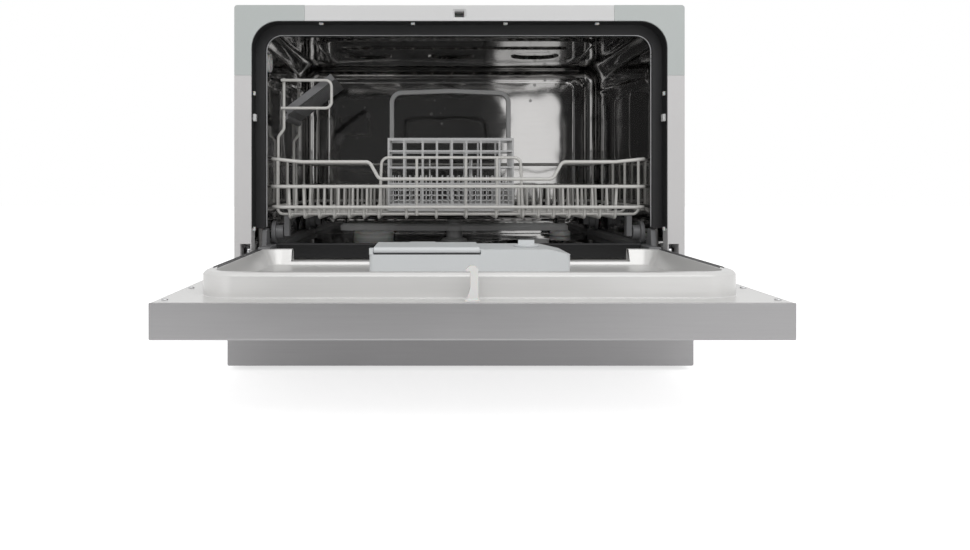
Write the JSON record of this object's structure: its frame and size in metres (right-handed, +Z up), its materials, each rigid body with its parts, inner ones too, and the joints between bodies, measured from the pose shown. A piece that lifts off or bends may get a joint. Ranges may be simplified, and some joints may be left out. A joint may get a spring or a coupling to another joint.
{
  "type": "countertop dishwasher",
  "caption": "Countertop dishwasher with a fold-down door, a wheeled wire rack, a cutlery basket, a cup shelf, a spray arm and a detergent dispenser.",
  "frame": {"origin": "middle of the footprint, door open, on the surface the feet stand on", "axes": "+X to the right seen from the front, +Y to the back, +Z up"},
  "size_m": [0.55, 0.771, 0.438],
  "materials": {
    "casing": "satin powder coat",
    "zinc_sheet": "galvanised sheet",
    "dark_moulding": "moulded",
    "rubber": "soft matt",
    "silver_panel": "silver finish",
    "frame_light": "fine satin",
    "frame_grey": "fine satin",
    "frame_side": "fine satin",
    "hinge_steel": "zinc plated",
    "white_plastic": "moulded",
    "tub_steel": "polished stainless",
    "liner_steel": "satin stainless",
    "dispenser_grey": "moulded",
    "coated_wire": "nylon coated wire",
    "rack_plastic": "moulded",
    "basket_grey": "moulded",
    "window": "tinted clear",
    "board": "circuit board"
  },
  "bodies": {
    "cabinet": {"top_panel": "casing", "side_panels": "casing", "back_panel": "zinc_sheet", "base_tray": "dark_moulding", "plinth_panel": "silver_panel", "feet": "rubber", "front_top_bar": "frame_light", "corner_brackets": "frame_grey", "side_trims": "frame_side", "hinge_brackets": "hinge_steel", "door_lock_body": "white_plastic", "tub": "tub_steel", "air_break": "white_plastic", "door_seal": "rubber", "lip_seal": "rubber", "rack_guides": "rack_plastic", "sump": "dark_moulding", "filter_plate": "dark_moulding", "spray_arm_post": "basket_grey", "wash_pump": "dark_moulding", "drain_pump": "dark_moulding", "water_heater": "tub_steel", "water_softener": "white_plastic", "float_switch": "dark_moulding", "inlet_valve": "dark_moulding", "drain_outlet": "dark_moulding", "cable_gland": "dark_moulding"},
    "door": {"door_outer_panel": "silver_panel", "control_panel": "silver_panel", "display_window": "window", "control_board": "board", "door_liner": "liner_steel", "hinge_arms": "hinge_steel", "latch_hook": "white_plastic", "dispenser_body": "dispenser_grey"},
    "button_1": {"button_1": "silver_panel"},
    "button_2": {"button_2": "silver_panel"},
    "button_3": {"button_3": "silver_panel"},
    "button_4": {"button_4": "silver_panel"},
    "detergent_lid": {"detergent_lid": "dispenser_grey"},
    "lid_latch": {"lid_latch": "dispenser_grey"},
    "rinse_aid_cap": {"rinse_aid_cap": "dispenser_grey"},
    "door_lock_pawl": {"door_lock_pawl": "white_plastic"},
    "filter_cup": {"filter_cup": "basket_grey"},
    "spray_arm": {"spray_arm": "basket_grey"},
    "salt_cap": {"salt_cap": "white_plastic"},
    "float": {"float": "white_plastic"},
    "rack": {"rack_floor_wires": "coated_wire", "rack_cross_wires": "coated_wire", "rack_rails": "coated_wire", "rack_fence": "coated_wire", "rack_tines": "coated_wire", "wheel_axles": "rack_plastic"},
    "cup_shelf": {"cup_shelf": "rack_plastic"},
    "wheel_front_left": {"wheel_front_left": "rack_plastic"},
    "wheel_front_right": {"wheel_front_right": "rack_plastic"},
    "wheel_rear_left": {"wheel_rear_left": "rack_plastic"},
    "wheel_rear_right": {"wheel_rear_right": "rack_plastic"},
    "cutlery_basket": {"cutlery_basket": "basket_grey", "basket_handle": "basket_grey"}
  },
  "joints": [
    {"name": "door_hinge", "type": "hinge", "parent": "cabinet", "child": "door", "pos_m": [0, -0.0765, 0.127], "axis": [1, 0, 0], "range_deg": [-90, 0]},
    {"name": "detergent_lid_hinge", "type": "hinge", "parent": "door", "child": "detergent_lid", "pos_m": [-0.04, -0.2565, 0.1531], "axis": [-1, 0, 0], "range_deg": [-100, 0]},
    {"name": "lid_latch_slide", "type": "slide", "parent": "door", "child": "lid_latch", "axis": [0, 1, 0], "range_m": [0, 0.0012], "stiffness_N_per_m": 300},
    {"name": "rinse_cap_turn", "type": "hinge", "parent": "door", "child": "rinse_aid_cap", "pos_m": [0.065, -0.2205, 0.155], "axis": [0, 0, 1], "range_deg": [0, 90]},
    {"name": "lock_pawl_slide", "type": "slide", "parent": "cabinet", "child": "door_lock_pawl", "axis": [1, 0, 0], "range_m": [0, 0.003], "stiffness_N_per_m": 200},
    {"name": "filter_twist", "type": "hinge", "parent": "cabinet", "child": "filter_cup", "pos_m": [0.112, 0.0875, 0.12], "axis": [0, 0, 1], "range_deg": [0, 60]},
    {"name": "spray_arm_spin", "type": "hinge", "parent": "cabinet", "child": "spray_arm", "pos_m": [0, 0.1325, 0.155], "axis": [0, 0, 1], "continuous": true},
    {"name": "salt_cap_turn", "type": "hinge", "parent": "cabinet", "child": "salt_cap", "pos_m": [-0.125, 0.2175, 0.14], "axis": [0, 0, 1], "range_deg": [0, 90]},
    {"name": "float_rise", "type": "slide", "parent": "cabinet", "child": "float", "axis": [0, 0, 1], "range_m": [0, 0.006]},
    {"name": "rack_slide", "type": "slide", "parent": "cabinet", "child": "rack", "axis": [0, -1, 0], "range_m": [0, 0.26]},
    {"name": "cup_shelf_fold", "type": "hinge", "parent": "rack", "child": "cup_shelf", "pos_m": [-0.225, -0.0225, 0.306], "axis": [0, -1, 0], "range_deg": [0, 45]},
    {"name": "basket_lift", "type": "slide", "parent": "rack", "child": "cutlery_basket", "axis": [0, 0, 1], "range_m": [0, 0.05]},
    {"name": "button_1_press", "type": "slide", "parent": "door", "child": "button_1", "axis": [0, 0, 1], "range_m": [0, 0.0015], "stiffness_N_per_m": 400},
    {"name": "button_2_press", "type": "slide", "parent": "door", "child": "button_2", "axis": [0, 0, 1], "range_m": [0, 0.0015], "stiffness_N_per_m": 400},
    {"name": "button_3_press", "type": "slide", "parent": "door", "child": "button_3", "axis": [0, 0, 1], "range_m": [0, 0.0015], "stiffness_N_per_m": 400},
    {"name": "button_4_press", "type": "slide", "parent": "door", "child": "button_4", "axis": [0, 0, 1], "range_m": [0, 0.0015], "stiffness_N_per_m": 400},
    {"name": "wheel_front_left_roll", "type": "hinge", "parent": "rack", "child": "wheel_front_left", "pos_m": [-0.231, -0.0245, 0.157], "axis": [1, 0, 0], "range_deg": [0, 1030]},
    {"name": "wheel_front_right_roll", "type": "hinge", "parent": "rack", "child": "wheel_front_right", "pos_m": [0.231, -0.0245, 0.157], "axis": [1, 0, 0], "range_deg": [0, 1030]},
    {"name": "wheel_rear_left_roll", "type": "hinge", "parent": "rack", "child": "wheel_rear_left", "pos_m": [-0.231, 0.2625, 0.157], "axis": [1, 0, 0], "range_deg": [0, 1030]},
    {"name": "wheel_rear_right_roll", "type": "hinge", "parent": "rack", "child": "wheel_rear_right", "pos_m": [0.231, 0.2625, 0.157], "axis": [1, 0, 0], "range_deg": [0, 1030]}
  ],
  "couplings": [
    {"joint": "wheel_front_left_roll", "follows": "rack_slide", "rad_per_m": 68.966},
    {"joint": "wheel_front_right_roll", "follows": "rack_slide", "rad_per_m": 68.966},
    {"joint": "wheel_rear_left_roll", "follows": "rack_slide", "rad_per_m": 68.966},
    {"joint": "wheel_rear_right_roll", "follows": "rack_slide", "rad_per_m": 68.966}
  ]
}
